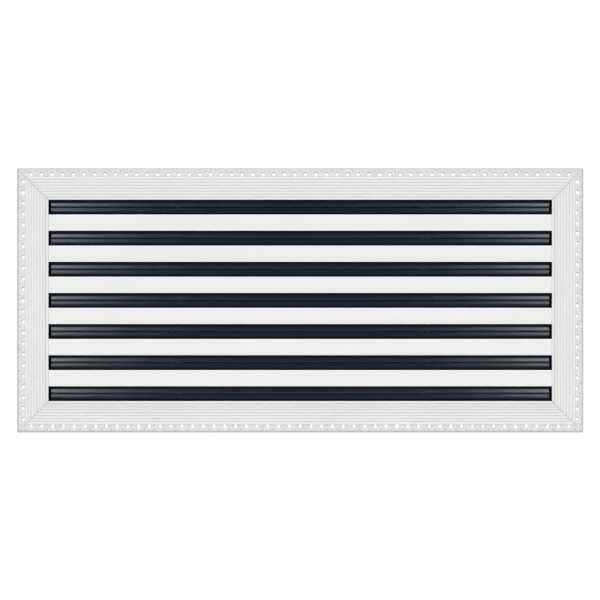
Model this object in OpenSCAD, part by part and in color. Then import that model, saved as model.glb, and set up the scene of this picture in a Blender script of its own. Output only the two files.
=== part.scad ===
// Louvred air grille: a linear slot diffuser with a plaster-in perforated frame.
// X runs along the slots, Z is up and Y is depth. The front faces -Y.
// The origin is the centre of the opening, on the plane of the frame's back face.

/* [Opening] */
// Clear length of each slot
opening_w = 508; // [300:1:900]
// Clear height from the first slot to the last
opening_h = 203.2; // [180:0.1:240]
// Gap between a T-bar's face and the side frame
butt_gap = 0.15; // [0.05:0.05:0.4]

/* [Frame] */
// Width of the frame's face, from the slot to the outer edge
flange_w = 31.75; // [31:0.25:36]
// Height of the finished face in front of the frame's back face
face_rise = 3.2; // [2.8:0.1:4]
// Thickness of the ribbed part of the flange
flange_t = 1.8; // [1.6:0.1:2.2]
// Thickness of the perforated strip
strip_t = 1.5; // [1.2:0.1:1.6]
// Thickness of the feathered outer edge
feather_t = 0.7; // [0.4:0.1:1]
// Width of the raised bead that the plaster stops against
bead_w = 2.2; // [1.8:0.1:2.3]
// Number of keying grooves
groove_count = 8; // [4:1:8]
// Radius of a keying groove's round bottom
groove_r = 0.5; // [0.3:0.05:0.5]
// Depth of a keying groove
groove_depth = 0.8; // [0.6:0.1:1]
// Distance between keying grooves
groove_pitch = 2.957; // [2.5:0.001:3]
// Depth of the neck behind the back face
neck_depth = 34; // [33:1:60]
// Thickness of the neck's wall
neck_t = 1.5; // [1.2:0.1:2]
// Gap left at each mitre, on each side
mitre_gap = 0.03; // [0.02:0.01:0.1]
// Width of the shadow groove along each mitre
mitre_groove_w = 0.5; // [0.3:0.1:0.8]
// Radius of the frame's outer corners
corner_r = 2; // [1:0.5:4]

/* [Perforations] */
// Number of holes along the top member
holes_top = 52; // [30:1:52]
// Number of holes along the bottom member
holes_bottom = 51; // [30:1:52]
// Number of holes along the left member
holes_left = 23; // [12:1:24]
// Number of holes along the right member
holes_right = 24; // [12:1:24]
// Distance between the first and last hole of a long member
hole_span_long = 543; // [540:1:546]
// Distance between the first and last hole of a short member
hole_span_short = 240; // [236:1:242]
// Radius of a hole
hole_r = 1.8; // [1.5:0.1:2]
// Width of the chamfer round a hole
hole_rim = 0.5; // [0.3:0.1:0.6]
// Distance from a hole's centre to the outer edge
hole_inset = 6.2; // [5.5:0.1:6.5]
// Radius of a keying dimple
dimple_r = 0.75; // [0.5:0.05:1]
// Distance from a dimple's centre to the outer edge
dimple_inset = 3.1; // [2.8:0.1:3.4]
// Depth of a dimple
dimple_depth = 1.1; // [0.6:0.1:1.1]

/* [T-bars] */
// Width of a T-bar's face
bar_w = 16.5; // [16:0.1:17]
// Thickness of a T-bar's face plate and its returns
cap_t = 1.2; // [1:0.1:1.4]
// Thickness of a T-bar's web
web_t = 2; // [1.6:0.1:2.2]
// Depth of a T-bar behind the back face
bar_depth = 32; // [31:1:33]
// Radius of the rounded face edges
edge_r = 0.8; // [0.4:0.1:1]
// Outer radius of a screw port
port_r = 2.7; // [2.4:0.1:2.7]
// Bore radius of a screw port
port_bore_r = 1.4; // [1.2:0.1:1.5]
// Depth of the front screw port
port_front_y = 6; // [5.5:0.1:6.5]
// Depth of the rear screw port
port_rear_y = 27.5; // [27.4:0.1:28]

/* [Vanes] */
// Wall thickness of a vane
vane_t = 1.1; // [0.9:0.1:1.3]
// Length that a vane stops short of each end of its slot
vane_end_gap = 2.7; // [2.4:0.1:4]
// Distance of a vane's crest from the middle of the slot
crest_z = 2.2; // [2:0.1:2.4]
// Depth of the crest behind the back face
crest_y = 0.9; // [0.6:0.1:1.1]
// Radius of the wide arc, from the crest out to the hinge
wing_r = 9; // [8.8:0.1:9.2]
// Radius of the tighter arc, from the crest in to the seam
nose_r = 5.5; // [5:0.1:6]
// Distance of the hinge axis from the middle of the slot
hinge_z = 9.9; // [9.8:0.1:10]
// Depth of the hinge axis behind the back face
hinge_y = 3.4; // [3.3:0.1:3.5]
// Outer radius of the hinge barrel
barrel_r = 1.6; // [1.5:0.1:1.7]
// Bore radius of the hinge barrel
barrel_bore_r = 0.85; // [0.8:0.01:0.9]
// Length of the meeting leg behind the hinge axis
leg_len = 3; // [2.6:0.1:3.2]
// Gap between the two meeting legs of a slot
seam_gap = 0.25; // [0.2:0.05:0.3]

/* [End holders] */
// Thickness of a holder's plate
holder_t = 2.4; // [2:0.1:2.4]
// Radius of a hinge pin
pin_r = 0.8; // [0.7:0.01:0.8]
// Length of a hinge pin
pin_len = 5; // [3:0.5:8]
// Radius of the peg that a vane closes against
peg_r = 0.5; // [0.4:0.1:0.6]
// Depth of the rib that keeps a holder in its track
track_y = 13.5; // [13.5:0.5:14]

/* [Tie rods] */
// Distance of each tie rod from the middle of the grille
rod_x = 127; // [80:1:200]
// Radius of a tie rod
rod_r = 3; // [2.5:0.1:3]
// Depth of a tie rod's axis
rod_y = 20.5; // [20.3:0.1:20.5]
// Outer radius of a spacer tube
tube_r = 4.2; // [3.8:0.1:4.2]

/* [Hidden] */
$fn = 48;
slot_count = 7;              // the vanes and holders are sized for this spacing
slot_h = (opening_h - (slot_count - 1) * bar_w) / slot_count;
pitch = slot_h + bar_w;
lip = (bar_w - web_t) / 2;
passage = pitch / 2 - web_t / 2;
neck_inner_x = opening_w / 2 + lip;
neck_inner_z = opening_h / 2 + lip;
neck_outer_x = neck_inner_x + neck_t;
neck_outer_z = neck_inner_z + neck_t;
cut = 1;                     // how far a cutting shape runs past what it cuts
bead_edge_r = 0.2;           // radius of the bead's front edges
clear = 0.15;                // gap between pieces that slide together when the grille is built
track_t = 1;                 // thickness of the track rib
track_h = 0.9;               // height of the track rib
mitre_groove_floor = 0.8;    // thickness left behind the mitre's shadow groove
first_groove = 2.75;         // distance from the slot to the first groove
strip_start = 24.2;          // distance from the slot to the perforated strip
feather_w = 1.75;            // width of the tapered outer edge
vane_len = opening_w - 2 * vane_end_gap;
holder_x = vane_len / 2 + 0.3;
meeting_r = hinge_z - 0.1;   // an upper vane's reach from its hinge to the seam
own_reach = hinge_z - 0.2;   // a lower vane's reach in front of its hinge
nose_back = 1.5;             // depth inside the nose's wall, where the legs start
wing_end = 52;               // angle at which the wide arc ends on the barrel
peg_angle = 36;              // angle of the closing peg about the wide arc's centre
peg_gap = 0.25;              // gap between a closed vane and its peg
peg_len = 2;
bridge_h = 1.6;              // thickness of the bridge behind a holder's plate
standoff_r = 2.6;
rivet_r = 1.6;
rivet_hole_r = rivet_r + 0.05;
rivet_y = 20;
rivet_steps = [8, 17];       // distances of the rivets from the neck's inner corner
cleat_len = 22;
cleat_t = 1.5;
cleat_w = 8;
rivet_head_t = 0.9;
rivet_tail = 1.2;
screw_head_r = 3.2;
screw_head_t = 1.8;
screw_len = 14;
rod_screw_r = 1.6;
rod_screw_len = 9;
rod_bore_depth = 12;
rod_head_r = 3.8;
rod_head_t = 2.2;

bars = [for (i = [1 : slot_count - 1]) opening_h / 2 + bar_w / 2 - i * pitch];
slots = [for (i = [0 : slot_count - 1]) opening_h / 2 - slot_h / 2 - i * pitch];
sides = [["left", -1], ["right", 1]];
corners = [["top_left", -1, 1], ["top_right", 1, 1], ["bottom_left", -1, -1], ["bottom_right", 1, -1]];
half_neck = [neck_inner_x, neck_inner_z];

// ---- shared shapes ----

// Sweeps a profile drawn as [height, depth] along X, centred.
module along_x(length) {
    rotate([0, -90, 0]) linear_extrude(height = length, center = true) children();
}

// A rectangle from corner a to corner b.
module box_2d(a, b) {
    translate(a) square(b - a);
}

// A cylinder along X, from x0 to x1, at a given [z, y].
module rod_along_x(x0, x1, at, r) {
    translate([x0, at[1], at[0]]) rotate([0, 90, 0]) cylinder(h = x1 - x0, r = r);
}

// A ring's arc: angles run from the front (-Y) towards +Z.
module arc_band(r, t, from, to) {
    reach = 3 * r;
    intersection() {
        difference() {
            circle(r);
            circle(r - t);
        }
        polygon(concat([[0, 0]], [for (a = [from, (from + to) / 2, to]) reach * [sin(a), -cos(a)]]));
    }
}

// ---- frame members ----

// Section of a frame member as [distance out from the slot, depth].
module frame_profile() {
    difference() {
        polygon([
            [0, 0], [0, -face_rise], [bead_w, -face_rise], [bead_w, -flange_t],
            [strip_start, -flange_t], [strip_start, -strip_t],
            [flange_w - feather_w, -strip_t], [flange_w, -feather_t], [flange_w, 0],
            [lip + neck_t, 0], [lip + neck_t, neck_depth], [lip, neck_depth],
            [lip, track_y + track_t], [lip - track_h, track_y + track_t],
            [lip - track_h, track_y], [lip, track_y], [lip, 0]]);
        // Rounded front edges of the bead
        for (side = [0, 1]) translate([side * bead_w, -face_rise]) mirror([side, 0]) difference() {
            translate([-cut, -cut]) square(bead_edge_r + cut);
            translate([bead_edge_r, bead_edge_r]) circle(bead_edge_r);
        }
        for (k = [0 : groove_count - 1])
            translate([first_groove + k * groove_pitch, groove_depth - groove_r - flange_t]) {
                circle(groove_r);
                box_2d([-groove_r, -groove_depth - cut], [groove_r, 0]);
            }
    }
}

// Outline of a member from the front, mitred at both ends, with rounded outer corners.
module mitred_outline(edge) {
    inner = edge / 2 - mitre_gap;
    difference() {
        polygon([
            [-(inner - cut), -cut], [inner - cut, -cut],
            [inner + flange_w, flange_w], [-(inner + flange_w), flange_w]]);
        for (side = [-1, 1])
            translate([side * (edge / 2 + flange_w - corner_r), flange_w - corner_r]) difference() {
                translate([side > 0 ? 0 : -2 * corner_r, 0]) square(2 * corner_r);
                circle(corner_r);
            }
    }
}

// A member along X above the slot edge at Z = 0. neck_holes holds [position, depth, radius].
module frame_member(edge, holes, span, neck_holes) {
    step = span / (holes - 1);
    color("whitesmoke") difference() {
        intersection() {
            along_x(edge + 2 * flange_w) frame_profile();
            rotate([90, 0, 0]) linear_extrude(height = 4 * neck_depth, center = true) mitred_outline(edge);
        }
        for (k = [0 : holes - 1])
            translate([k * step - span / 2, 0, flange_w - hole_inset]) rotate([90, 0, 0]) {
                cylinder(h = 4 * strip_t, r = hole_r, center = true);
                translate([0, 0, strip_t - hole_rim])
                    cylinder(h = 2 * hole_rim, r1 = hole_r, r2 = hole_r + 2 * hole_rim);
            }
        for (k = [0 : holes])
            translate([(k - 0.5) * step - span / 2, dimple_depth - strip_t, flange_w - dimple_inset])
                rotate([90, 0, 0]) cylinder(h = 2, r = dimple_r);
        for (side = [-1, 1])
            translate([side * edge / 2, -mitre_groove_floor, 0]) rotate([0, side * 45, 0])
                translate([-mitre_groove_w / 2, -2 * face_rise, -flange_w])
                    cube([mitre_groove_w, 2 * face_rise, 3 * flange_w]);
        for (h = neck_holes)
            translate([h[0], h[1], lip - cut]) cylinder(h = neck_t + 2 * cut, r = h[2]);
    }
}

// Rivet holes near both ends of a member, measured in from the neck's inner corner.
function rivet_holes(half) =
    [for (side = [-1, 1], d = rivet_steps) [side * (half - d), rivet_y, rivet_hole_r]];

long_neck_holes = concat(
    rivet_holes(half_neck[0]),
    [for (side = [-1, 1]) [side * rod_x, rod_y, rod_screw_r + 0.3]]);
short_neck_holes = concat(
    rivet_holes(half_neck[1]),
    [for (z = bars, y = [port_front_y, port_rear_y]) [z, y, port_bore_r + 0.3]]);

module frame_top() {
    translate([0, 0, opening_h / 2])
        frame_member(opening_w, holes_top, hole_span_long, long_neck_holes);
}

module frame_bottom() {
    rotate([0, 180, 0]) translate([0, 0, opening_h / 2])
        frame_member(opening_w, holes_bottom, hole_span_long, long_neck_holes);
}

module frame_left() {
    rotate([0, -90, 0]) translate([0, 0, opening_w / 2])
        frame_member(opening_h, holes_left, hole_span_short, short_neck_holes);
}

module frame_right() {
    rotate([0, 90, 0]) translate([0, 0, opening_w / 2])
        frame_member(opening_h, holes_right, hole_span_short, short_neck_holes);
}

// ---- corner joints ----

// Places a piece made for the top right corner at another corner.
module at_corner(x_side, z_side) {
    mirror([x_side < 0 ? 1 : 0, 0, 0]) mirror([0, 0, z_side < 0 ? 1 : 0]) children();
}

// L-shaped cleat inside the necks, with a hole for each rivet.
module corner_cleat(x_side, z_side) {
    color("silver") at_corner(x_side, z_side)
        translate([neck_inner_x, 0, neck_inner_z]) difference() {
            translate([-cleat_len, rivet_y - cleat_w / 2, -cleat_len])
                cube([cleat_len, cleat_w, cleat_len]);
            translate([-cleat_len - cut, rivet_y - cleat_w / 2 - cut, -cleat_len - cut])
                cube([cleat_len + cut - cleat_t, cleat_w + 2 * cut, cleat_len + cut - cleat_t]);
            for (d = rivet_steps) {
                translate([-d, rivet_y, -cleat_t - cut]) cylinder(h = cleat_t + 2 * cut, r = rivet_hole_r);
                rod_along_x(-cleat_t - cut, cut, [-d, rivet_y], rivet_hole_r);
            }
        }
}

// A blind rivet along +Z, its outer head standing on Z = neck_t.
module rivet() {
    translate([0, 0, neck_t]) cylinder(h = rivet_head_t, r1 = 2 * rivet_r, r2 = 1.3 * rivet_r);
    translate([0, 0, -cleat_t - rivet_tail]) {
        cylinder(h = neck_t + cleat_t + rivet_tail, r = rivet_r);
        cylinder(h = rivet_tail, r1 = 1.2 * rivet_r, r2 = 1.5 * rivet_r);
    }
}

module corner_rivets() {
    color("silver") for (c = corners) at_corner(c[1], c[2]) for (d = rivet_steps) {
        translate([neck_inner_x - d, rivet_y, neck_inner_z]) rivet();
        translate([neck_inner_x, rivet_y, neck_inner_z - d]) rotate([0, 90, 0]) rivet();
    }
}

// ---- T-bars ----

// Face plate with returned, rounded edges.
module cap_profile() {
    for (side = [-1, 1]) {
        outer = side * bar_w / 2;
        inner = side * (bar_w / 2 - cap_t);
        box_2d([min(outer, inner), edge_r - face_rise], [max(outer, inner), 0]);
        translate([side * (bar_w / 2 - edge_r), edge_r - face_rise]) circle(edge_r);
    }
    box_2d([edge_r - bar_w / 2, -face_rise], [bar_w / 2 - edge_r, cap_t - face_rise]);
}

// Web with its screw ports and the ribs of the holders' tracks, from a given depth back.
module web_profile(from_y) {
    difference() {
        union() {
            box_2d([-web_t / 2, from_y], [web_t / 2, bar_depth]);
            for (y = [port_front_y, port_rear_y]) translate([0, y]) circle(port_r);
            box_2d([-web_t / 2 - track_h, track_y], [web_t / 2 + track_h, track_y + track_t]);
        }
        for (y = [port_front_y, port_rear_y]) translate([0, y]) circle(port_bore_r);
    }
}

module t_bar(i) {
    web_len = 2 * (neck_inner_x - clear);
    color("whitesmoke") translate([0, 0, bars[i - 1]]) difference() {
        union() {
            along_x(opening_w - 2 * butt_gap) cap_profile();
            along_x(opening_w - 2 * butt_gap) web_profile(-face_rise + cap_t / 2);
            along_x(web_len) web_profile(clear);
        }
        for (side = [-1, 1]) {
            // Notch for the side frame's track rib
            translate([side * neck_inner_x, track_y + track_t / 2, 0])
                cube([2 * (track_h + clear), track_t + 2 * clear, bar_w], center = true);
            translate([side * rod_x, rod_y, -web_t]) cylinder(h = 2 * web_t, r = rod_r + 0.1);
        }
    }
}

// Self-tapping screws through a side neck into the screw ports.
module t_bar_screws(side) {
    color("gainsboro") for (z = bars, y = [port_front_y, port_rear_y])
        mirror([side < 0 ? 1 : 0, 0, 0]) {
            rod_along_x(neck_outer_x - screw_len, neck_outer_x, [z, y], port_bore_r - 0.05);
            translate([neck_outer_x, y, z]) rotate([0, 90, 0])
                cylinder(h = screw_head_t, r1 = screw_head_r, r2 = 0.7 * screw_head_r);
        }
}

// ---- vanes ----

// The parts both vanes share, drawn for the upper vane.
module vane_shell() {
    translate([crest_z, crest_y + wing_r]) arc_band(wing_r, vane_t, 0, wing_end);
    translate([crest_z, crest_y + nose_r]) arc_band(nose_r, vane_t, -90, 0);
    translate([hinge_z, hinge_y]) circle(barrel_r);
}

// A leg by the seam: a strip of a ring about a hinge, between two depths.
module leg(hinge, r_outer, from, to) {
    intersection() {
        translate([hinge, hinge_y]) difference() {
            circle(r_outer, $fn = 96);
            circle(r_outer - vane_t, $fn = 96);
        }
        box_2d([-2 * vane_t, from], [2 * vane_t, to]);
    }
}

module upper_vane_profile() {
    difference() {
        union() {
            intersection() {
                vane_shell();
                translate([hinge_z, hinge_y]) circle(meeting_r, $fn = 96);
            }
            leg(hinge_z, meeting_r, nose_back, hinge_y + leg_len);
        }
        translate([hinge_z, hinge_y]) circle(barrel_bore_r);
    }
}

module lower_vane_profile() {
    difference() {
        union() {
            mirror([1, 0]) intersection() {
                vane_shell();
                translate([hinge_z, hinge_y]) circle(own_reach, $fn = 96);
            }
            leg(-hinge_z, own_reach, nose_back, hinge_y);
            leg(hinge_z, meeting_r + seam_gap + vane_t, hinge_y - 0.2, hinge_y + leg_len);
        }
        translate([-hinge_z, hinge_y]) circle(barrel_bore_r);
    }
}

module upper_vane(i) {
    color("#1b2430") translate([0, 0, slots[i - 1]]) along_x(vane_len) upper_vane_profile();
}

module lower_vane(i) {
    color("#1b2430") translate([0, 0, slots[i - 1]]) along_x(vane_len) lower_vane_profile();
}

// ---- end holders ----

// Plate outline between two webs, notched round the front screw ports.
module holder_outline() {
    difference() {
        box_2d([clear - passage, clear], [passage - clear, track_y - clear]);
        for (side = [-1, 1]) translate([side * pitch / 2, port_front_y]) circle(port_r + clear);
    }
}

// A holder for the right end of a slot, with its pins, pegs and stand-offs.
module holder() {
    back = neck_inner_x - clear;
    plate_end = holder_x + holder_t;
    peg_reach = wing_r + peg_gap + peg_r;
    peg_at = [crest_z, crest_y + wing_r] + peg_reach * [sin(peg_angle), -cos(peg_angle)];
    translate([(holder_x + plate_end) / 2, 0, 0]) along_x(holder_t) holder_outline();
    translate([(plate_end + back) / 2, 0, 0]) along_x(back - plate_end)
        box_2d([-hinge_z, track_y - clear - bridge_h], [hinge_z, track_y - clear]);
    for (side = [-1, 1]) {
        rod_along_x(holder_x - pin_len, plate_end, [side * hinge_z, hinge_y], pin_r);
        rod_along_x(holder_x - peg_len, plate_end, [side * peg_at[0], peg_at[1]], peg_r);
        rod_along_x(plate_end - clear, back, [side * hinge_z, hinge_y], standoff_r);
    }
}

module end_holder(side, i) {
    color("#101418") mirror([side < 0 ? 1 : 0, 0, 0]) translate([0, 0, slots[i - 1]]) holder();
}

// ---- tie rods ----

module tie_rod(side) {
    color("silver") translate([side * rod_x, rod_y, 0]) difference() {
        cylinder(h = 2 * neck_inner_z, r = rod_r, center = true);
        for (end = [-1, 1])
            translate([0, 0, end * neck_inner_z])
                cylinder(h = 2 * rod_bore_depth, r = rod_screw_r, center = true);
    }
}

module spacer_tubes(side) {
    color("silver") for (z = slots) translate([side * rod_x, rod_y, z]) difference() {
        cylinder(h = 2 * passage, r = tube_r, center = true);
        cylinder(h = 2 * passage + 2 * cut, r = rod_r + 0.1, center = true);
    }
}

module tie_rod_screws() {
    color("silver") for (side = [-1, 1], end = [0, 1])
        mirror([0, 0, end]) translate([side * rod_x, rod_y, neck_outer_z]) {
            translate([0, 0, -rod_screw_len]) cylinder(h = rod_screw_len, r = rod_screw_r - 0.05);
            cylinder(h = rod_head_t, r1 = rod_head_r, r2 = 0.7 * rod_head_r);
        }
}

// ---- nodes ----

frame_top();
frame_bottom();
frame_left();
frame_right();
for (c = corners)
    corner_cleat(c[1], c[2]);
corner_rivets();
for (i = [1 : slot_count - 1])
    t_bar(i);
for (s = sides)
    t_bar_screws(s[1]);
for (i = [1 : slot_count])
    upper_vane(i);
for (i = [1 : slot_count])
    lower_vane(i);
for (s = sides, i = [1 : slot_count])
    end_holder(s[1], i);
for (s = sides)
    tie_rod(s[1]);
for (s = sides)
    spacer_tubes(s[1]);
tie_rod_screws();
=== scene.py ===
"""Looks for the louvred air grille: materials, detailed fasteners, studio light and camera.

Every length is in metres, and MM turns millimetres into metres.
"""

import math

import bmesh
import bpy
from mathutils import Matrix, Vector


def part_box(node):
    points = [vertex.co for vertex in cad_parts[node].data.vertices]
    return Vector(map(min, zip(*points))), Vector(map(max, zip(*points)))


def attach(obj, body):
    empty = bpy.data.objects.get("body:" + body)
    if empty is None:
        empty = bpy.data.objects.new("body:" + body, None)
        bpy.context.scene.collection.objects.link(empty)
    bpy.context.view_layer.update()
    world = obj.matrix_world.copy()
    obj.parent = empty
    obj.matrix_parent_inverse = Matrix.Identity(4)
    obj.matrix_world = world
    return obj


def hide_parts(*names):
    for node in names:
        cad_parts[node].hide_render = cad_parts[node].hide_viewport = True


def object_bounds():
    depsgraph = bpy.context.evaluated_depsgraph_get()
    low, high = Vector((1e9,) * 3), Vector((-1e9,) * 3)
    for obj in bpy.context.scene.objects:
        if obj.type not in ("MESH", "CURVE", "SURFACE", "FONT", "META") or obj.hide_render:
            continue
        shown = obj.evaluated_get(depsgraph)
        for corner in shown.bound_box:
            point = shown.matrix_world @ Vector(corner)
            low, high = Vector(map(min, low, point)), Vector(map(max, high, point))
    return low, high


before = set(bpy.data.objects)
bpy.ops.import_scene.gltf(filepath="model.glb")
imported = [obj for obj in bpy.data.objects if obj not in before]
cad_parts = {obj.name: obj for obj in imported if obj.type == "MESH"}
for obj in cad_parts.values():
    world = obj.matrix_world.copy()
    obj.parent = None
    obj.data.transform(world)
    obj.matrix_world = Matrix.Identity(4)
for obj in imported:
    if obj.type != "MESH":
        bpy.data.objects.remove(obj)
cad_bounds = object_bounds()

MM = 0.001
SLOTS = 7
SIDES = {"left": -1, "right": 1}
WHITE = (1, 1, 1, 1)

# Where the parts of the frame's coat start or end. Each fades between its two distances.
# From the frame's outer edge, where minus is inwards:
STRIP_BAND = (-7.8 * MM, -7.2 * MM)  # the perforated strip starts
FEATHER_BAND = (-1.5 * MM, -0.9 * MM)  # the painted shade along the outer edge starts
FEATHER_RAGGED = 1.2 * MM  # how uneven the painted edge shade is
# From the opening's edge, where minus is inwards:
MITRE_FROM = (-0.6 * MM, -0.1 * MM)  # the mitre lines start
RIM_TO_X = (-0.5 * MM, 0)  # the T-bars' painted highlights end
RIM_TO_Z = (-6.6 * MM, -6.1 * MM)
# From the middle of a mitre line and of a T-bar:
MITRE_BAND = (0.3 * MM, 0.7 * MM)  # the shadow ends
RIM_BAND = (7.2 * MM, 7.6 * MM)  # the painted highlight starts

# The black inside: how far it reaches outwards, and where it starts and fades out in depth
LIP_REACH = 0.2 * MM  # past the opening's edge
NECK_REACH_X = 0.5 * MM  # past the T-bars' ends
NECK_REACH_Z = 0.3 * MM  # past the same depth of neck above and below
LIP_FRONT = -2.85 * MM  # 0.35 mm behind the face, so the white wraps round a lip's edge
NECK_FRONT = -0.4 * MM
BLACK_SOFT = 0.1 * MM
BLACK_FADE = (14 * MM, 24 * MM)
BLACK_FUZZ = 6 * MM

# Fasteners. Their places come from the CAD boxes.
SCREW_HEAD_R = 3.2 * MM
SCREW_HEAD_T = 1.8 * MM
SCREW_SHANK_R = 1.35 * MM
SCREW_LENGTH = 14 * MM
ROD_SCREW_HEAD_R = 3.8 * MM
ROD_SCREW_HEAD_T = 2.2 * MM
ROD_SCREW_SHANK_R = 1.55 * MM
ROD_SCREW_LENGTH = 9 * MM
THREAD_PITCH = 1.1 * MM
RIVET_R = 1.6 * MM
RIVET_HEAD_R = 3.2 * MM
RIVET_HEAD_T = 0.9 * MM
RIVET_GRIP = 3 * MM
RIVET_TAIL = 1.2 * MM
RIVET_BULGE = 0.75 * MM
MANDREL_R = 0.65 * MM
MANDREL_BORE_R = 0.85 * MM
RIVET_STEPS = (9.5 * MM, 18.5 * MM)  # from the neck's outer corner
TURN_STEP = math.radians(37)  # each fastener is turned on from the one before it
SHARP_ANGLE = math.radians(35)

# Camera. The lens and its sensor are in millimetres.
LENS = 180
SENSOR = 36
VIEW_WIDTH = 0.6058
CAMERA_SHIFT = (-0.0002, 0.0004)

# Floor
FLOOR_R = 2.2
FLOOR_Z = -1.1

# Light from the world. The shares are of its full level, and the bands are parts of a unit direction.
WORLD_LIGHT = 0.5
MIDDLE_SHARE = 0.03  # from ahead, above, below and behind
MIDDLE_BAND = (0.10, 0.45)  # |X| where the middle ends and where the sides are at full level
BEHIND_SHARE = 0.35
BEHIND_BAND = (-0.2, 0.3)  # Y where the front ends and where the back starts

# Lamps: place, (width, height), and power in watts
OVERHEAD_PLACE = (0, -0.45, 2.6)
OVERHEAD_SIZE = (3.0, 0.6)
OVERHEAD_POWER = 44
UNDERSIDE_PLACE = (0, -0.45, FLOOR_Z + 0.03)
UNDERSIDE_SIZE = (3.0, 0.5)
UNDERSIDE_POWER = 5
STRIP_X = 0.665
STRIP_Y = -3.1
STRIP_Z = 0.1
STRIP_SIZE = (0.35, 2.6)
STRIP_POWER = 25
REAR_PLACE = (1.5, 2.6, 1.6)
REAR_FILL_PLACE = (-1.8, 2.4, 0.6)
REAR_SIZE = (1.6, 1.6)
REAR_POWER = 25
REAR_FILL_POWER = 12.5


# ---------------------------------------------------------------- materials

class Nodes:
    """A short way to build one material's node tree."""

    def __init__(self, name):
        self.material = bpy.data.materials.new(name)
        self.material.use_nodes = True
        self.tree = self.material.node_tree
        self.bsdf = self.tree.nodes["Principled BSDF"]
        self.place = self.add("ShaderNodeTexCoord").outputs["Object"]

    def add(self, kind, **settings):
        node = self.tree.nodes.new(kind)
        for key, value in settings.items():
            setattr(node, key, value)
        return node

    def link(self, output, target):
        self.tree.links.new(output, target)

    def stretched(self, scale):
        """Object coordinates, scaled along X, Y and Z."""
        mapping = self.add("ShaderNodeMapping")
        mapping.inputs["Scale"].default_value = scale
        self.link(self.place, mapping.inputs["Vector"])
        return mapping.outputs["Vector"]

    def noise(self, scale, detail=2.0, roughness=0.5, vector=None):
        """Values from 0 to 1. The higher the scale, the finer the noise."""
        node = self.add("ShaderNodeTexNoise")
        node.inputs["Scale"].default_value = scale
        node.inputs["Detail"].default_value = detail
        node.inputs["Roughness"].default_value = roughness
        self.link(vector or self.place, node.inputs["Vector"])
        return node.outputs["Fac"]

    def ramp(self, value, low, high, from_low=0.35, from_high=0.65):
        """Goes from low to high as value goes from from_low to from_high. The defaults suit a noise."""
        node = self.add("ShaderNodeMapRange")
        node.inputs["From Min"].default_value = from_low
        node.inputs["From Max"].default_value = from_high
        node.inputs["To Min"].default_value = low
        node.inputs["To Max"].default_value = high
        self.link(value, node.inputs["Value"])
        return node.outputs["Result"]

    def math(self, operation, first, second=None):
        """first and second are outputs or plain numbers."""
        node = self.add("ShaderNodeMath", operation=operation)
        for value, target in zip((first, second), node.inputs):
            if isinstance(value, (int, float)):
                target.default_value = value
            elif value is not None:
                self.link(value, target)
        return node.outputs[0]

    def all_of(self, *masks):
        """The product of two or more masks."""
        result = masks[0]
        for mask in masks[1:]:
            result = self.math("MULTIPLY", result, mask)
        return result

    def around_zero(self, value, size):
        """Turns a noise from 0 to 1 into one of that size with 0 in its middle."""
        return self.math("MULTIPLY", self.math("SUBTRACT", value, 0.5), size)

    def axes(self):
        """(distance from the middle along X, depth Y, distance from the middle along Z)."""
        split = self.add("ShaderNodeSeparateXYZ")
        self.link(self.place, split.inputs[0])
        x, y, z = (split.outputs[axis] for axis in "XYZ")
        return self.math("ABSOLUTE", x), y, self.math("ABSOLUTE", z)

    def upward(self):
        """1 on faces that look up, 0 on upright ones, -1 on faces that look down."""
        split = self.add("ShaderNodeSeparateXYZ")
        self.link(self.add("ShaderNodeNewGeometry").outputs["Normal"], split.inputs[0])
        return split.outputs["Z"]

    def crevice(self, reach):
        """0 on open surfaces, up to 1 in grooves, holes and seams narrower than reach."""
        node = self.add("ShaderNodeAmbientOcclusion", samples=6)
        node.inputs["Distance"].default_value = reach
        return self.math("SUBTRACT", 1.0, node.outputs["AO"])

    def blend(self, factor, first, second):
        """Mixes two colours, each an output or (r, g, b)."""
        node = self.add("ShaderNodeMix", data_type="RGBA")
        for value, key in ((first, "A"), (second, "B")):
            target = [i for i in node.inputs if i.name == key and i.type == "RGBA"][0]
            if isinstance(value, tuple):
                target.default_value = (*value, 1)
            else:
                self.link(value, target)
        self.link(factor, node.inputs["Factor"])
        return [o for o in node.outputs if o.type == "RGBA"][0]

    def colour(self, output):
        self.link(output, self.bsdf.inputs["Base Color"])

    def roughness(self, output):
        self.link(output, self.bsdf.inputs["Roughness"])

    def bump(self, *layers):
        """Stacks bump layers, each (height, strength, distance)."""
        normal = None
        for height, strength, distance in layers:
            node = self.add("ShaderNodeBump")
            node.inputs["Strength"].default_value = strength
            node.inputs["Distance"].default_value = distance
            self.link(height, node.inputs["Height"])
            if normal:
                self.link(normal, node.inputs["Normal"])
            normal = node.outputs["Normal"]
        self.link(normal, self.bsdf.inputs["Normal"])

    def set(self, **values):
        for key, value in values.items():
            self.bsdf.inputs[key.replace("_", " ")].default_value = value


def middle(node):
    low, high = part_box(node)
    return (Vector(low) + Vector(high)) / 2


def opening():
    """Half the width and half the height of the opening that the frame's lips leave."""
    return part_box("frame_right")[0][0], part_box("frame_top")[0][2]


def shifted(band, place):
    """A band that is measured from a place, as distances from the middle."""
    return band[0] + place, band[1] + place


def handled_and_shaded_edge(n, white, outward):
    """The perforated strip is handled and dusty in random patches; its keying holes' tops and the feathered
    edge beyond it get painted shade.
    """
    grain = n.noise(620, 3, 0.7)
    strip = n.ramp(outward, 0, 1, *STRIP_BAND)
    white = n.blend(n.all_of(strip, n.ramp(grain, -0.1, 1)), white, (0.62, 0.62, 0.625))

    # Painted shade: what looks down there is the top of each keying hole, darkened as if shaded from a
    # light above
    shaded_hole_tops = n.all_of(n.ramp(n.upward(), 0.9, 0, -0.6, -0.15), strip)
    white = n.blend(shaded_hole_tops, white, (0.12, 0.12, 0.12))

    # Painted shade along the feathered outer edge, with a ragged inner border
    ragged = n.math("ADD", outward, n.around_zero(grain, FEATHER_RAGGED))
    return n.blend(n.ramp(ragged, 0, 1, *FEATHER_BAND), white, (0.56, 0.56, 0.57))


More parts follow.
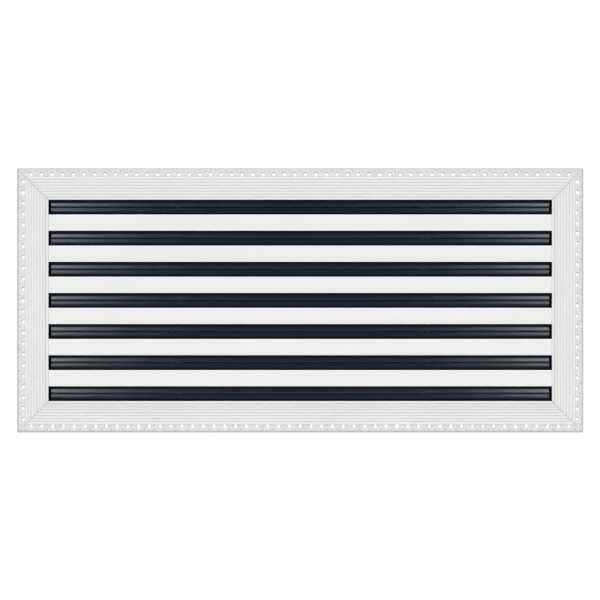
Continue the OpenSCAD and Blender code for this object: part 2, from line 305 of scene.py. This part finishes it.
def mitre_line(n, white, x, z, outward):
    """The shadow in the joint between two members, fainter across the perforated strip."""
    corner_x, _, corner_z = cad_bounds[1]
    off_line = n.math("SUBTRACT", n.math("SUBTRACT", x, z), corner_x - corner_z)
    line = n.ramp(n.math("ABSOLUTE", off_line), 0.36, 0, *MITRE_BAND)
    on_frame = n.ramp(z, 0, 1, *shifted(MITRE_FROM, opening()[1]))
    faint = n.ramp(outward, 1, 0.3, *STRIP_BAND)
    return n.blend(n.all_of(line, on_frame, faint), white, (0.40, 0.40, 0.405))


def bar_highlight(n, white, x, z):
    """A painted highlight: a bright line along the front edges of the T-bars."""
    half_width, half_height = opening()
    pitch = middle("t_bar_1").z - middle("t_bar_2").z
    from_bar = n.math("ABSOLUTE", n.math("SUBTRACT", n.math("FRACT", n.math("DIVIDE", z, pitch)), 0.5))
    rim = n.ramp(from_bar, 0, 1, *(distance / pitch for distance in RIM_BAND))
    in_height = n.ramp(z, 1, 0, *shifted(RIM_TO_Z, half_height))
    in_width = n.ramp(x, 1, 0, *shifted(RIM_TO_X, half_width))
    return n.blend(n.all_of(rim, in_height, in_width), white, (0.96, 0.96, 0.96))


def black_inside(n, x, y, z):
    """1 between the lips from just behind the face, and in the neck, until it fades out at the back."""
    half_width, half_height = opening()
    bar_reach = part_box("t_bar_1")[1][0] - half_width

    def within(x_limit, z_limit, front):
        inside_x = n.ramp(x, 1, 0, x_limit - BLACK_SOFT, x_limit + BLACK_SOFT)
        inside_z = n.ramp(z, 1, 0, z_limit - BLACK_SOFT, z_limit + BLACK_SOFT)
        behind = n.ramp(y, 0, 1, front - BLACK_SOFT, front + BLACK_SOFT)
        return n.all_of(inside_x, inside_z, behind)

    lips = within(half_width + LIP_REACH, half_height + LIP_REACH, LIP_FRONT)
    neck = within(half_width + bar_reach + NECK_REACH_X, half_height + bar_reach + NECK_REACH_Z, NECK_FRONT)
    fuzz = n.around_zero(n.noise(300, 2), BLACK_FUZZ)
    reach = n.ramp(n.math("ADD", y, fuzz), 1, 0, *BLACK_FADE)
    return n.all_of(n.math("MAXIMUM", lips, neck), reach)


def frame_coat():
    """White powder coat outside, black sprayed into the slots from the front, painted shade along the
    feather edge, in crevices and on the keying holes' tops, and a painted highlight along the T-bars' front
    edges.

    The same coat is on the frame members and the T-bars. Its bands start from the CAD boxes.
    """
    n = Nodes("frame_coat")
    x, y, z = n.axes()
    edge_x, _, edge_z = cad_bounds[1]
    outward = n.math("MAXIMUM", n.math("SUBTRACT", x, edge_x), n.math("SUBTRACT", z, edge_z))

    # Satin white with fine orange peel and a faint drift in tone
    tone = n.ramp(n.noise(9, 3), 0, 1)
    white = n.blend(tone, (0.806, 0.808, 0.808), (0.824, 0.826, 0.825))
    white = handled_and_shaded_edge(n, white, outward)

    # Painted shade in the grooves, the keying holes' rims and dimples, and the mitre seams, from an
    # occlusion mask
    crevice_shade = n.ramp(n.crevice(1.6 * MM), 0, 0.13, 0.1, 0.7)
    white = n.blend(crevice_shade, white, (0.36, 0.36, 0.365))
    white = mitre_line(n, white, x, z, outward)
    white = bar_highlight(n, white, x, z)

    black = black_inside(n, x, y, z)
    n.colour(n.blend(black, white, (0.006, 0.006, 0.007)))
    gloss = n.ramp(n.noise(650, 2), 0.36, 0.46)
    n.roughness(n.math("ADD", gloss, n.math("MULTIPLY", black, 0.35)))
    n.bump((n.noise(900, 2, 0.6), 0.10, 0.06 * MM), (n.noise(160, 1), 0.08, 0.10 * MM))
    n.set(IOR=1.5)
    return n.material


def black_vane_coat(name, gloss):
    """Semi-gloss blue-black coat over an extrusion, with faint die lines along X."""
    n = Nodes(name)
    lines = n.noise(1.0, 1, 0.5, n.stretched((2, 1400, 1400)))
    tone = n.ramp(n.noise(30, 3), 0, 1)
    n.colour(n.blend(tone, (0.0088, 0.0155, 0.0255), (0.0102, 0.0175, 0.0290)))
    n.roughness(n.ramp(n.noise(40, 2), 0.135, 0.155))
    n.bump((lines, 0.02, 0.01 * MM), (n.noise(500, 1), 0.02, 0.02 * MM))
    n.set(IOR=1.5, Specular_IOR_Level=gloss, Specular_Tint=(0.88, 0.93, 1.0, 1.0))
    return n.material


def black_plastic():
    """Moulded matt black nylon with a fine spark texture and slightly paler scuffs."""
    n = Nodes("black_plastic")
    tone = n.ramp(n.noise(220, 4), 0, 1)
    n.colour(n.blend(tone, (0.002, 0.002, 0.0022), (0.0035, 0.0035, 0.0037)))
    n.roughness(n.ramp(n.noise(1500, 2), 0.5, 0.62))
    n.bump((n.noise(2600, 2, 0.7), 0.25, 0.03 * MM))
    n.set(IOR=1.45, Specular_IOR_Level=0.03)
    return n.material


def mill_aluminium(name, stretch):
    """Bare drawn aluminium, with fine lines along the direction it was drawn in."""
    n = Nodes(name)
    lines = n.noise(1.0, 3, 0.6, n.stretched(stretch))
    tone = n.ramp(n.noise(60, 3), 0, 1)
    n.colour(n.blend(tone, (0.58, 0.59, 0.61), (0.67, 0.68, 0.70)))
    n.roughness(n.ramp(lines, 0.28, 0.42))
    n.bump((lines, 0.12, 0.02 * MM))
    n.set(Metallic=1.0)
    return n.material


def zinc_plate():
    """Bright zinc plating: mottled, faintly blue, slightly uneven gloss."""
    n = Nodes("zinc_plate")
    mottle = n.ramp(n.noise(900, 4, 0.65), 0, 1)
    n.colour(n.blend(mottle, (0.47, 0.49, 0.53), (0.62, 0.63, 0.65)))
    n.roughness(n.ramp(n.noise(400, 3), 0.22, 0.40))
    n.bump((n.noise(1800, 2), 0.10, 0.02 * MM))
    n.set(Metallic=1.0)
    return n.material


def floor_paint():
    """Matt pale grey paint with a faint drift in tone."""
    n = Nodes("floor_paint")
    tone = n.ramp(n.noise(2, 2), 0, 1)
    n.colour(n.blend(tone, (0.78, 0.78, 0.78), (0.80, 0.80, 0.80)))
    n.set(Roughness=0.7)
    return n.material


def coat(node, material):
    """Gives a CAD node one material in all its slots."""
    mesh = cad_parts[node].data
    if not mesh.materials:
        mesh.materials.append(material)
    for i in range(len(mesh.materials)):
        mesh.materials[i] = material


# ---------------------------------------------------------------- fasteners

def ring(bm, radius, height, count, shape=None):
    """A ring of vertices round Z. shape(angle) scales the radius."""
    verts = []
    for k in range(count):
        angle = 2 * math.pi * k / count
        r = radius * (shape(angle) if shape else 1)
        verts.append(bm.verts.new((r * math.cos(angle), r * math.sin(angle), height)))
    return verts


def lathe(bm, rings):
    """A closed skin through rings that run from the top inwards, over and down."""
    for upper, lower in zip(rings, rings[1:]):
        for k in range(len(upper)):
            after = (k + 1) % len(upper)
            bm.faces.new((upper[k], lower[k], lower[after], upper[after]))
    bm.faces.new(rings[0])
    bm.faces.new(list(reversed(rings[-1])))


def cross_recess(angle):
    """Radius of a rounded cross, as a fraction of its arms' reach."""
    core = 0.4
    sharpness = 6
    return core + (1 - core) * abs(math.cos(2 * angle)) ** sharpness


def add_screw(bm, head_r, head_t, shank_r, length):
    """A pan head screw along Z. The head stands on Z = 0 and the threaded shank runs down."""
    count = 48
    recess_depth = 0.6 * head_t
    recess_floor_r = 0.40 * head_r
    recess_mouth_r = 0.58 * head_r
    crown = 0.66  # the flat top's radius, as a fraction of the head's
    rim = 0.4  # height of the head's edge, as a fraction of its thickness
    root_r = 0.82 * shank_r
    tip_r = 0.3 * shank_r
    steps = 6
    rings = [
        ring(bm, recess_floor_r, head_t - recess_depth, count, cross_recess),
        ring(bm, recess_mouth_r, head_t, count, cross_recess),
    ]
    for k in range(steps + 1):
        angle = math.radians(90) * k / steps
        rings.append(ring(bm, head_r * (crown + (1 - crown) * math.sin(angle)),
                          head_t * (rim + (1 - rim) * math.cos(angle)), count))
    rings.append(ring(bm, head_r, 0, count))

    # Each turn of the thread is a root and a crest
    turns = int(length / THREAD_PITCH)
    for k in range(turns):
        rings.append(ring(bm, root_r, -(k + 0.05) * THREAD_PITCH, count))
        rings.append(ring(bm, shank_r, -(k + 0.5) * THREAD_PITCH, count))
    rings.append(ring(bm, root_r, -turns * THREAD_PITCH, count))
    rings.append(ring(bm, tip_r, -length, count))
    lathe(bm, rings)


def add_bar_screw(bm):
    add_screw(bm, SCREW_HEAD_R, SCREW_HEAD_T, SCREW_SHANK_R, SCREW_LENGTH)


def add_rod_screw(bm):
    add_screw(bm, ROD_SCREW_HEAD_R, ROD_SCREW_HEAD_T, ROD_SCREW_SHANK_R, ROD_SCREW_LENGTH)


def add_rivet(bm):
    """A blind rivet along Z, its domed head on Z = 0, with the broken mandrel in its centre."""
    count = 40
    mandrel_top = 0.45 * MM
    bore_floor = 0.1 * MM
    rim = 0.25  # height of the head's edge, as a fraction of its thickness
    taper = 0.1 * MM
    steps = 7
    rings = [
        ring(bm, MANDREL_R, mandrel_top, count),
        ring(bm, MANDREL_R, bore_floor, count),
        ring(bm, MANDREL_BORE_R, bore_floor, count),
        ring(bm, MANDREL_BORE_R, RIVET_HEAD_T, count),
    ]
    for k in range(1, steps + 1):
        angle = math.radians(90) * k / steps
        rings.append(ring(bm, MANDREL_BORE_R + (RIVET_HEAD_R - MANDREL_BORE_R) * math.sin(angle),
                          RIVET_HEAD_T * (rim + (1 - rim) * math.cos(angle)), count))
    rings.append(ring(bm, RIVET_HEAD_R, 0, count))
    rings.append(ring(bm, RIVET_R, 0, count))
    rings.append(ring(bm, RIVET_R, -RIVET_GRIP, count))
    for k in range(1, steps + 1):
        angle = math.radians(180) * k / steps
        rings.append(ring(bm, RIVET_R + RIVET_BULGE * math.sin(angle) - taper * k / steps,
                          -RIVET_GRIP - RIVET_TAIL * k / steps, count))
    lathe(bm, rings)


def fastener_set(name, material, node, body, build, places):
    """One piece holding a copy of a fastener at each (place, outward axis). It replaces a CAD node."""
    template = bmesh.new()
    build(template)
    bmesh.ops.recalc_face_normals(template, faces=template.faces)
    mesh = bpy.data.meshes.new(name + "_one")
    template.to_mesh(mesh)
    template.free()
    whole = bmesh.new()
    for k, (place, outward) in enumerate(places):
        first = len(whole.verts)
        whole.from_mesh(mesh)
        whole.verts.ensure_lookup_table()
        aim = Vector((0, 0, 1)).rotation_difference(Vector(outward)).to_matrix().to_4x4()
        turn = Matrix.Rotation(TURN_STEP * k, 4, "Z")
        move = Matrix.Translation(Vector(place)) @ aim @ turn
        bmesh.ops.transform(whole, matrix=move, verts=whole.verts[first:])
    result = bpy.data.meshes.new(name)
    whole.to_mesh(result)
    whole.free()
    bpy.data.meshes.remove(mesh)
    result.shade_smooth()
    result.set_sharp_from_angle(angle=SHARP_ANGLE)
    result.materials.append(material)
    piece = bpy.data.objects.new(name, result)
    bpy.context.scene.collection.objects.link(piece)
    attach(piece, body)
    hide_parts(node)
    return piece


def make_bar_screws(zinc, side):
    """Two at each end of each T-bar, on the outside of a side member's neck."""
    sign = SIDES[side]
    node = f"t_bar_screws_{side}"
    low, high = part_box(node)
    seat = (high[0] if sign > 0 else low[0]) - sign * SCREW_HEAD_T
    depths = (low[1] + SCREW_HEAD_R, high[1] - SCREW_HEAD_R)
    places = [((seat, y, middle(f"t_bar_{i}").z), (sign, 0, 0))
              for i in range(1, SLOTS) for y in depths]
    piece = fastener_set(f"bar_screws_{side}", zinc, node, "frame", add_bar_screw, places)


def make_rod_screws(zinc):
    """One at each end of each tie rod, on the outside of the long members' necks."""
    low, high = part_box("tie_rod_screws")
    places = []
    for side in SIDES:
        rod = middle(f"tie_rod_{side}")
        places.append(((rod.x, rod.y, high[2] - ROD_SCREW_HEAD_T), (0, 0, 1)))
        places.append(((rod.x, rod.y, low[2] + ROD_SCREW_HEAD_T), (0, 0, -1)))
    piece = fastener_set("rod_screws", zinc, "tie_rod_screws", "frame", add_rod_screw, places)


def make_rivets(aluminium):
    """Two through each face of each corner of the neck."""
    low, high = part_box("corner_rivets")
    depth = middle("corner_rivets").y
    places = []
    for x_side, x_end in ((-1, low[0]), (1, high[0])):
        for z_side, z_end in ((-1, low[2]), (1, high[2])):
            x_seat = x_end - x_side * RIVET_HEAD_T
            z_seat = z_end - z_side * RIVET_HEAD_T
            for step in RIVET_STEPS:
                places.append(((x_seat - x_side * step, depth, z_seat), (0, 0, z_side)))
                places.append(((x_seat, depth, z_seat - z_side * step), (x_side, 0, 0)))
    piece = fastener_set("rivets", aluminium, "corner_rivets", "frame", add_rivet, places)


# ---------------------------------------------------------------- light and camera

def softbox(name, place, size, power):
    """A rectangular area light that faces the object. The camera doesn't see it."""
    data = bpy.data.lights.new(name, "AREA")
    data.shape = "RECTANGLE"
    data.size, data.size_y = size
    data.energy = power
    light = bpy.data.objects.new(name, data)
    light.location = place
    light.rotation_euler = (-Vector(place)).to_track_quat("-Z", "Y").to_euler()
    light.visible_camera = False
    bpy.context.scene.collection.objects.link(light)


def make_world():
    """White to look at. As light it is soft, strongest from the two sides and weaker from behind."""
    world = bpy.data.worlds.new("studio")
    bpy.context.scene.world = world
    world.use_nodes = True
    tree = world.node_tree
    tree.nodes.clear()
    add, link = tree.nodes.new, tree.links.new

    def fade(value, band, start, end):
        """Goes smoothly from start to end as value goes through the band."""
        node = add("ShaderNodeMapRange")
        node.interpolation_type = "SMOOTHSTEP"
        node.inputs["From Min"].default_value = band[0]
        node.inputs["From Max"].default_value = band[1]
        node.inputs["To Min"].default_value = start
        node.inputs["To Max"].default_value = end
        link(value, node.inputs["Value"])
        return node.outputs["Result"]

    def times(first, second):
        """second is an output or a plain number."""
        node = add("ShaderNodeMath")
        node.operation = "MULTIPLY"
        link(first, node.inputs[0])
        if isinstance(second, float):
            node.inputs[1].default_value = second
        else:
            link(second, node.inputs[1])
        return node.outputs[0]

    split = add("ShaderNodeSeparateXYZ")
    link(add("ShaderNodeTexCoord").outputs["Generated"], split.inputs[0])
    sideways = add("ShaderNodeMath")
    sideways.operation = "ABSOLUTE"
    link(split.outputs["X"], sideways.inputs[0])
    beside = fade(sideways.outputs[0], MIDDLE_BAND, MIDDLE_SHARE, 1.0)
    behind = fade(split.outputs["Y"], BEHIND_BAND, 1.0, BEHIND_SHARE)
    lit = add("ShaderNodeBackground")
    lit.inputs["Color"].default_value = WHITE
    link(times(times(beside, behind), WORLD_LIGHT), lit.inputs["Strength"])
    seen = add("ShaderNodeBackground")
    seen.inputs["Color"].default_value = WHITE
    seen.inputs["Strength"].default_value = 1.0
    pick = add("ShaderNodeMixShader")
    link(add("ShaderNodeLightPath").outputs["Is Camera Ray"], pick.inputs["Fac"])
    link(lit.outputs[0], pick.inputs[1])
    link(seen.outputs[0], pick.inputs[2])
    link(pick.outputs[0], add("ShaderNodeOutputWorld").inputs["Surface"])


def make_lamps():
    softbox("overhead", OVERHEAD_PLACE, OVERHEAD_SIZE, OVERHEAD_POWER)
    softbox("underside", UNDERSIDE_PLACE, UNDERSIDE_SIZE, UNDERSIDE_POWER)
    for sign in SIDES.values():
        softbox(f"strip_{sign}", (sign * STRIP_X, STRIP_Y, STRIP_Z), STRIP_SIZE, STRIP_POWER)
    softbox("rear", REAR_PLACE, REAR_SIZE, REAR_POWER)
    softbox("rear_fill", REAR_FILL_PLACE, REAR_SIZE, REAR_FILL_POWER)


def make_camera():
    """Straight on, from far enough away that the sides of the slots don't show."""
    data = bpy.data.cameras.new("camera")
    data.lens = LENS
    data.sensor_width = SENSOR
    data.clip_end = 50
    camera = bpy.data.objects.new("camera", data)
    distance = VIEW_WIDTH * LENS / SENSOR
    camera.location = (CAMERA_SHIFT[0], -distance, CAMERA_SHIFT[1])
    camera.rotation_euler = (math.radians(90), 0, 0)
    bpy.context.scene.collection.objects.link(camera)
    bpy.context.scene.camera = camera


def make_floor():
    bm = bmesh.new()
    bmesh.ops.create_circle(bm, cap_ends=True, radius=FLOOR_R, segments=128)
    mesh = bpy.data.meshes.new("floor")
    bm.to_mesh(mesh)
    bm.free()
    mesh.materials.append(floor_paint())
    floor = bpy.data.objects.new("floor", mesh)
    floor.location.z = FLOOR_Z
    bpy.context.scene.collection.objects.link(floor)


# ---------------------------------------------------------------- scene

coated = frame_coat()
upper_black = black_vane_coat("upper_vane_coat", 0.5)
lower_black = black_vane_coat("lower_vane_coat", 0.33)  # a duller copy of the same coat: painted shade that weakens its highlight
plastic = black_plastic()
zinc = zinc_plate()
drawn_x = mill_aluminium("aluminium_drawn_x", (3, 1500, 1500))
drawn_z = mill_aluminium("aluminium_drawn_z", (1500, 1500, 3))

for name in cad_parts:
    if name.startswith(("frame_", "t_bar_")) and "screws" not in name:
        coat(name, coated)
    elif name.startswith("upper_vane_"):
        coat(name, upper_black)
    elif name.startswith("lower_vane_"):
        coat(name, lower_black)
    elif name.startswith("end_holder_"):
        coat(name, plastic)
    elif name.startswith(("tie_rod_", "spacer_tubes_")) and "screws" not in name:
        coat(name, drawn_z)
    elif name.startswith("corner_cleat_"):
        coat(name, drawn_x)

for side in SIDES:
    make_bar_screws(zinc, side)
make_rod_screws(zinc)
make_rivets(drawn_x)
make_world()
make_lamps()
make_floor()
make_camera()

view = bpy.context.scene.view_settings
view.view_transform = "Standard"
view.look = "None"
